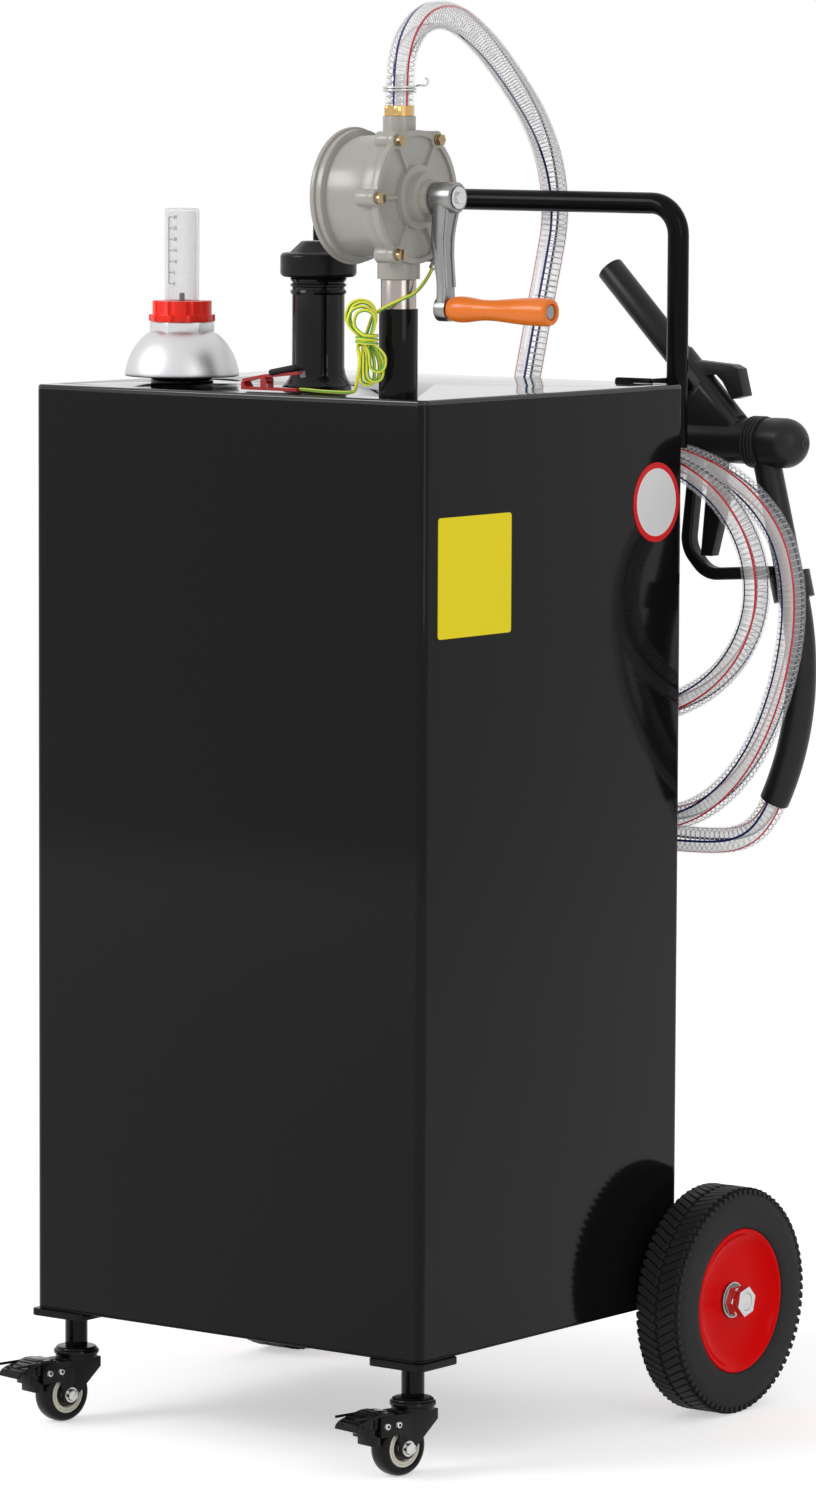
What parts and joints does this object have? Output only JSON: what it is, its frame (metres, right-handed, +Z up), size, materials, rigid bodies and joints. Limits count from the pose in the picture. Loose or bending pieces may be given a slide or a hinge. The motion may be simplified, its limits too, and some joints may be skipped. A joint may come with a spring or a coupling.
{
  "type": "fuel caddy",
  "caption": "Upright steel fuel tank on casters and rear wheels, with a hand-cranked vane pump, filler neck, float gauge, push handle, coiled hose and hanging nozzle.",
  "frame": {"origin": "on the floor, under the middle of the whole caddy", "axes": "+Z up, -Y to the front wall above the casters, +Y to the push handle and rear wheels, +X to the side that the pump crank points to"},
  "size_m": [0.5932, 0.5636, 1.252],
  "materials": {
    "brass": "machined brass",
    "bung_black": "gloss black paint",
    "cap_black": "black moulding",
    "caster_black": "black paint over pressed steel",
    "caster_cream": "cream moulded hub",
    "caster_rubber": "smooth black tread",
    "clear_tube": "clear tube",
    "clip_black": "black jaws with red handles",
    "crank_metal": "cast and polished",
    "dome_aluminium": "turned, finely brushed",
    "grip_orange": "gloss orange moulding",
    "handle_black": "gloss black paint",
    "hose_clear": "clear hose wall over a steel helix, with coloured stripes",
    "nozzle_black": "black moulding",
    "nut_red": "red moulding",
    "plate_yellow": "bare yellow plate and bare round plate",
    "pump_grey": "warm grey cast body",
    "seal_rubber": "matt rubber",
    "sleeve_black": "dark ribbed sleeve",
    "tank_black": "gloss black enamel with a mirror shine",
    "tyre_black": "matt black rubber with moulded tread",
    "vane_plastic": "moulded vane plastic",
    "wheel_red": "gloss red paint",
    "wire_green": "yellow and green cover",
    "yellow_zinc": "yellow zinc plating",
    "zinc_steel": "bright zinc plating"
  },
  "bodies": {
    "tank": {"axle_brackets": "tank_black", "axle_nuts": "zinc_steel", "caster_mounts": "tank_black", "clip_lower_jaw": "clip_black", "filler_neck": "tank_black", "gauge_bung": "bung_black", "gauge_dome": "dome_aluminium", "gauge_ring_nut": "nut_red", "gauge_stem": "zinc_steel", "gauge_tube": "clear_tube", "ground_wire_lower": "wire_green", "ground_wire_upper": "wire_green", "hand_sleeve": "sleeve_black", "hose_clamp": "zinc_steel", "hose_loops": "hose_clear", "nozzle_body": "nozzle_black", "nozzle_guard": "nozzle_black", "nozzle_spout": "nozzle_black", "outlet_barb": "brass", "pump_back_plate": "pump_grey", "pump_bolts": "yellow_zinc", "pump_bush": "pump_grey", "pump_cover": "pump_grey", "pump_housing": "pump_grey", "push_handle": "handle_black", "rear_axle": "zinc_steel", "rear_hooks": "handle_black", "ring_terminal": "zinc_steel", "riser_pipe": "zinc_steel", "riser_sleeve": "tank_black", "suction_tube": "zinc_steel", "supply_hose": "hose_clear", "tank_floor": "tank_black", "tank_shell": "tank_black", "tank_top": "tank_black", "wall_plates": "plate_yellow", "wire_hank": "wire_green"},
    "crank": {"crank_shaft": "zinc_steel", "pump_vanes": "vane_plastic", "crank_arm": "crank_metal"},
    "grip": {"crank_grip": "grip_orange"},
    "float": {"float_arm": "zinc_steel", "gauge_float": "cap_black"},
    "pointer": {"pointer_rod": "zinc_steel"},
    "cap_lift_seal": {"cap_seal": "seal_rubber"},
    "cap": {"filler_cap": "cap_black"},
    "lever": {"nozzle_lever": "nozzle_black"},
    "clip_jaw": {"clip_upper_jaw": "clip_black"},
    "fork_left": {"caster_fork_left": "caster_black"},
    "fork_right": {"caster_fork_right": "caster_black"},
    "caster_wheel_left": {"caster_tyre_left": "caster_rubber", "caster_hub_left": "caster_cream"},
    "caster_wheel_right": {"caster_tyre_right": "caster_rubber", "caster_hub_right": "caster_cream"},
    "pedal_left": {"brake_pedal_left": "caster_black"},
    "pedal_right": {"brake_pedal_right": "caster_black"},
    "wheel_left": {"tyre_left": "tyre_black", "wheel_rim_left": "wheel_red"},
    "wheel_right": {"tyre_right": "tyre_black", "wheel_rim_right": "wheel_red"}
  },
  "joints": [
    {"name": "crank_spin", "type": "hinge", "parent": "tank", "child": "crank", "pos_m": [0.17725, -0.19768, 1.087], "axis": [1, 0, 0], "continuous": true},
    {"name": "grip_spin", "type": "hinge", "parent": "crank", "child": "grip", "pos_m": [0.19255, -0.19768, 0.994], "axis": [1, 0, 0], "continuous": true},
    {"name": "float_swing", "type": "hinge", "parent": "tank", "child": "float", "pos_m": [-0.14275, -0.14168, 0.482], "axis": [1, 0, 0], "range_deg": [0, 116]},
    {"name": "pointer_slide", "type": "slide", "parent": "tank", "child": "pointer", "axis": [0, 0, 1], "range_m": [0, 0.0705]},
    {"name": "cap_lift", "type": "slide", "parent": "tank", "child": "cap_lift_seal", "axis": [0, 0, 1], "range_m": [0, 0.06]},
    {"name": "cap_turn", "type": "hinge", "parent": "cap_lift_seal", "child": "cap", "pos_m": [0.00425, -0.13668, 1.03], "axis": [0, 0, 1], "continuous": true},
    {"name": "lever_squeeze", "type": "hinge", "parent": "tank", "child": "lever", "pos_m": [0.17025, 0.23132, 0.836], "axis": [0, -1, 0], "range_deg": [0, 22], "stiffness_Nm_per_rad": 1, "springref_deg": -11.46},
    {"name": "clip_squeeze", "type": "hinge", "parent": "tank", "child": "clip_jaw", "pos_m": [-0.00075, -0.20168, 0.92839], "axis": [0, 1, 0], "range_deg": [0, 16], "stiffness_Nm_per_rad": 1, "springref_deg": -11.46},
    {"name": "caster_swivel_left", "type": "hinge", "parent": "tank", "child": "fork_left", "pos_m": [-0.21275, -0.20268, 0.066], "axis": [0, 0, 1], "continuous": true},
    {"name": "caster_spin_left", "type": "hinge", "parent": "fork_left", "child": "caster_wheel_left", "pos_m": [-0.21599, -0.21937, 0.025], "axis": [0.9816, -0.1908, 0], "continuous": true},
    {"name": "pedal_press_left", "type": "hinge", "parent": "fork_left", "child": "pedal_left", "pos_m": [-0.22057, -0.24293, 0.0467], "axis": [0.9816, -0.1908, 0], "range_deg": [0, 11]},
    {"name": "caster_swivel_right", "type": "hinge", "parent": "tank", "child": "fork_right", "pos_m": [0.16125, -0.20268, 0.066], "axis": [0, 0, 1], "continuous": true},
    {"name": "caster_spin_right", "type": "hinge", "parent": "fork_right", "child": "caster_wheel_right", "pos_m": [0.15801, -0.21937, 0.025], "axis": [0.9816, -0.1908, 0], "continuous": true},
    {"name": "pedal_press_right", "type": "hinge", "parent": "fork_right", "child": "pedal_right", "pos_m": [0.15343, -0.24293, 0.0467], "axis": [0.9816, -0.1908, 0], "range_deg": [0, 11]},
    {"name": "wheel_spin_left", "type": "hinge", "parent": "tank", "child": "wheel_left", "pos_m": [-0.29075, 0.18032, 0.1015], "axis": [1, 0, 0], "continuous": true},
    {"name": "wheel_spin_right", "type": "hinge", "parent": "tank", "child": "wheel_right", "pos_m": [0.23925, 0.18032, 0.1015], "axis": [1, 0, 0], "continuous": true}
  ],
  "couplings": [
    {"joint": "pointer_slide", "follows": "float_swing", "m_per_rad": 0.034575}
  ]
}
